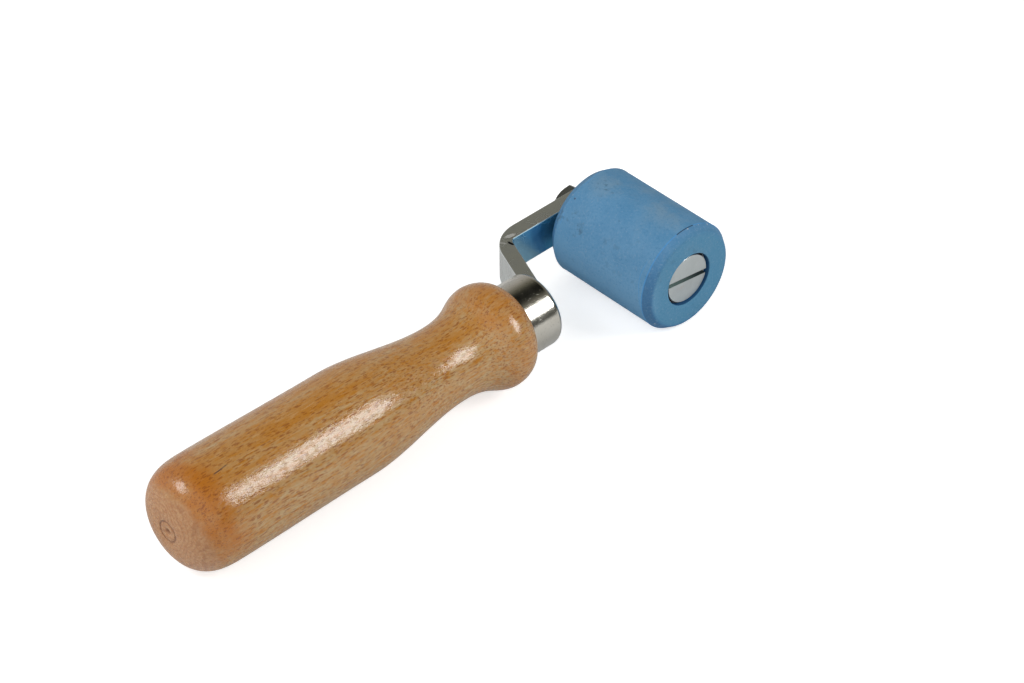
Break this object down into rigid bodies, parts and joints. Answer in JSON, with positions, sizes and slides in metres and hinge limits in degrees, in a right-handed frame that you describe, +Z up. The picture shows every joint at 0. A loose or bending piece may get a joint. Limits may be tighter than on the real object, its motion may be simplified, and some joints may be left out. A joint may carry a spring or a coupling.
{
  "type": "hand roller brayer",
  "caption": "Hand brayer: a blue rubber roller on ball bearings, held at one end by a cranked flat bar in a turned wooden handle with a plated ferrule.",
  "frame": {"origin": "on the bench, under the middle of the object's box, as it lies flat on its tread and handle", "axes": "+X along the axle towards the slotted head, +Y along the handle from the butt to the roller, +Z up from the bench"},
  "size_m": [0.0512, 0.1876, 0.0333],
  "materials": {
    "rubber": "matte, slightly dusty",
    "wood": "clear gloss lacquer on turned beech",
    "nickel": "nickel plate, satin",
    "zinc": "zinc plate, satin",
    "screw_steel": "satin, turned",
    "core_tube": "bare tube",
    "bearing_steel": "ground and polished",
    "cage_steel": "pressed sheet"
  },
  "bodies": {
    "frame": {"handle": "wood", "ferrule": "nickel", "bracket": "zinc", "axle_screw": "screw_steel", "axle_nut": "zinc", "head_washer": "screw_steel", "bearing_sleeve": "screw_steel", "rear_bush": "screw_steel", "front_bearing_inner_ring": "bearing_steel", "rear_bearing_inner_ring": "bearing_steel"},
    "roller": {"roller_tyre": "rubber", "roller_core": "core_tube", "front_bearing_outer_ring": "bearing_steel", "front_bearing_outboard_shield": "bearing_steel", "front_bearing_inboard_shield": "bearing_steel", "rear_bearing_outer_ring": "bearing_steel", "rear_bearing_outboard_shield": "bearing_steel", "rear_bearing_inboard_shield": "bearing_steel"},
    "front_cage": {"front_bearing_cage": "cage_steel", "front_bearing_ball_1": "bearing_steel", "front_bearing_ball_2": "bearing_steel", "front_bearing_ball_3": "bearing_steel", "front_bearing_ball_4": "bearing_steel", "front_bearing_ball_5": "bearing_steel", "front_bearing_ball_6": "bearing_steel", "front_bearing_ball_7": "bearing_steel", "front_bearing_ball_8": "bearing_steel", "front_bearing_ball_9": "bearing_steel"},
    "rear_cage": {"rear_bearing_cage": "cage_steel", "rear_bearing_ball_1": "bearing_steel", "rear_bearing_ball_2": "bearing_steel", "rear_bearing_ball_3": "bearing_steel", "rear_bearing_ball_4": "bearing_steel", "rear_bearing_ball_5": "bearing_steel", "rear_bearing_ball_6": "bearing_steel", "rear_bearing_ball_7": "bearing_steel", "rear_bearing_ball_8": "bearing_steel", "rear_bearing_ball_9": "bearing_steel"}
  },
  "joints": [
    {"name": "roller_spin", "type": "hinge", "parent": "frame", "child": "roller", "pos_m": [0.0056, 0.07721, 0.01663], "axis": [1, 0, 0], "continuous": true},
    {"name": "front_cage_orbit", "type": "hinge", "parent": "frame", "child": "front_cage", "pos_m": [0.0056, 0.07721, 0.01663], "axis": [1, 0, 0], "continuous": true},
    {"name": "rear_cage_orbit", "type": "hinge", "parent": "frame", "child": "rear_cage", "pos_m": [0.0056, 0.07721, 0.01663], "axis": [1, 0, 0], "continuous": true}
  ],
  "couplings": [
    {"joint": "front_cage_orbit", "follows": "roller_spin", "ratio": 0.58333},
    {"joint": "rear_cage_orbit", "follows": "roller_spin", "ratio": 0.58333}
  ]
}
